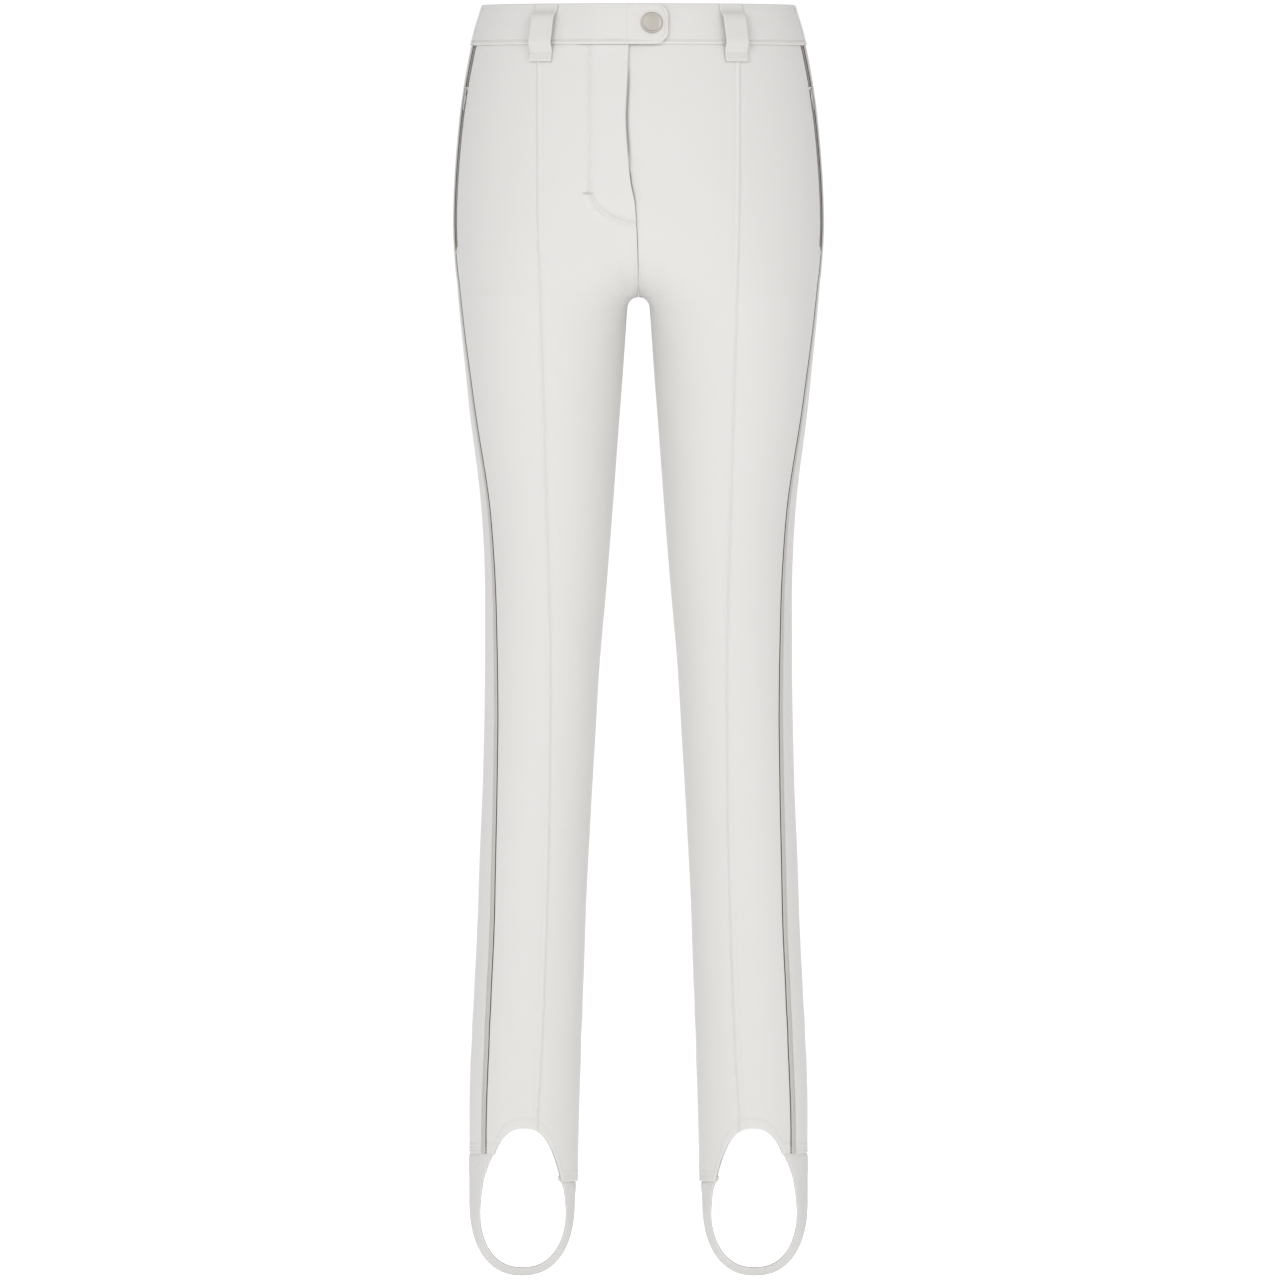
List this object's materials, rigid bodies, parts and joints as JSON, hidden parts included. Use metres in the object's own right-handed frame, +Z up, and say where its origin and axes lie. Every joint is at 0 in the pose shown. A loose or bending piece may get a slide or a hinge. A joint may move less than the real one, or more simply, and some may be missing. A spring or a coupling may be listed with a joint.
{
  "type": "ski pants",
  "caption": "Slim stirrup ski pants with a snap waistband, belt loops, zipped side pockets, a zip fly, crease seams, piped outseams and elastic foot straps.",
  "frame": {"origin": "centre of the waist opening, level with the top edge of the waistband", "axes": "+Z up towards the wearer's head, -Y the front of the pants, +X the wearer's left"},
  "size_m": [0.3258, 0.2254, 1.1178],
  "materials": {
    "ski_twill": "fine stretch twill, matte off-white",
    "lining": "smooth plain weave, off-white",
    "grey_tape": "woven tape, light warm grey",
    "elastic_knit": "ribbed elastic, off-white",
    "silver_metal": "satin silver plating"
  },
  "bodies": {
    "pants": {"left_front_inner_panel": "ski_twill", "left_front_outer_panel": "ski_twill", "left_back_panel": "ski_twill", "left_piping": "grey_tape", "left_hem_facing": "lining", "right_front_inner_panel": "ski_twill", "right_front_outer_panel": "ski_twill", "right_back_panel": "ski_twill", "right_piping": "grey_tape", "right_hem_facing": "lining", "snap_stud": "silver_metal", "snap_post": "silver_metal", "waistband_left": "ski_twill", "waistband_right": "ski_twill", "waistband_back": "ski_twill", "waistband_facing_left": "lining", "waistband_facing_right": "lining", "waistband_facing_back": "lining", "back_label": "lining", "belt_loop_front_left": "ski_twill", "belt_loop_front_right": "ski_twill", "belt_loop_back_left": "ski_twill", "belt_loop_back_right": "ski_twill", "belt_loop_centre_back": "ski_twill", "left_pocket_tape_front": "grey_tape", "left_pocket_teeth_front": "silver_metal", "left_pocket_tape_back": "grey_tape", "left_pocket_teeth_back": "silver_metal", "left_pocket_top_stop": "silver_metal", "left_pocket_bottom_stop": "silver_metal", "left_pocket_bag": "lining", "right_pocket_tape_front": "grey_tape", "right_pocket_teeth_front": "silver_metal", "right_pocket_tape_back": "grey_tape", "right_pocket_teeth_back": "silver_metal", "right_pocket_top_stop": "silver_metal", "right_pocket_bottom_stop": "silver_metal", "right_pocket_bag": "lining", "fly_tape_left": "grey_tape", "fly_teeth_left": "silver_metal", "fly_tape_right": "grey_tape", "fly_teeth_right": "silver_metal", "fly_top_stop": "silver_metal", "fly_bottom_stop": "silver_metal", "fly_facing": "lining", "fly_shield": "lining"},
    "waistband_tab": {"waistband_tab": "ski_twill", "snap_cap": "silver_metal", "snap_socket": "silver_metal"},
    "left_pocket_slider": {"left_pocket_slider": "silver_metal"},
    "left_pocket_pull": {"left_pocket_pull": "silver_metal"},
    "right_pocket_slider": {"right_pocket_slider": "silver_metal"},
    "right_pocket_pull": {"right_pocket_pull": "silver_metal"},
    "fly_slider": {"fly_slider": "silver_metal"},
    "fly_pull": {"fly_pull": "silver_metal"},
    "left_stirrup": {"left_stirrup": "elastic_knit"},
    "right_stirrup": {"right_stirrup": "elastic_knit"}
  },
  "joints": [
    {"name": "waistband_tab_hinge", "type": "hinge", "parent": "pants", "child": "waistband_tab", "pos_m": [-0.00949, -0.09707, -0.01751], "axis": [0.0049, -0.1161, -0.9932], "range_deg": [0, 110]},
    {"name": "left_pocket_zip", "type": "hinge", "parent": "pants", "child": "left_pocket_slider", "pos_m": [-0.57111, -0.02147, -0.18996], "axis": [0, 1, 0], "range_deg": [0, 9.9]},
    {"name": "left_pocket_pull_hinge", "type": "hinge", "parent": "left_pocket_slider", "child": "left_pocket_pull", "pos_m": [0.15169, -0.02285, -0.07388], "axis": [-0.2715, -0.9615, -0.0427], "range_deg": [0, 150]},
    {"name": "right_pocket_zip", "type": "hinge", "parent": "pants", "child": "right_pocket_slider", "pos_m": [0.57111, -0.02147, -0.18996], "axis": [0, -1, 0], "range_deg": [0, 9.9]},
    {"name": "right_pocket_pull_hinge", "type": "hinge", "parent": "right_pocket_slider", "child": "right_pocket_pull", "pos_m": [-0.15169, -0.02285, -0.07388], "axis": [-0.2715, 0.9615, 0.0427], "range_deg": [0, 150]},
    {"name": "fly_zip", "type": "hinge", "parent": "pants", "child": "fly_slider", "pos_m": [-0.021, 0.58546, -0.12602], "axis": [1, 0, 0], "range_deg": [0, 8.8]},
    {"name": "fly_pull_hinge", "type": "hinge", "parent": "fly_slider", "child": "fly_pull", "pos_m": [-0.021, -0.08868, -0.04318], "axis": [-1, 0, 0], "range_deg": [0, 3]},
    {"name": "left_stirrup_swing", "type": "hinge", "parent": "pants", "child": "left_stirrup", "pos_m": [0.149, 0, -1.01], "axis": [0.9668, 0, 0.2555], "range_deg": [-35, 35]},
    {"name": "right_stirrup_swing", "type": "hinge", "parent": "pants", "child": "right_stirrup", "pos_m": [-0.149, 0, -1.01], "axis": [0.9668, 0, -0.2555], "range_deg": [-35, 35]}
  ]
}
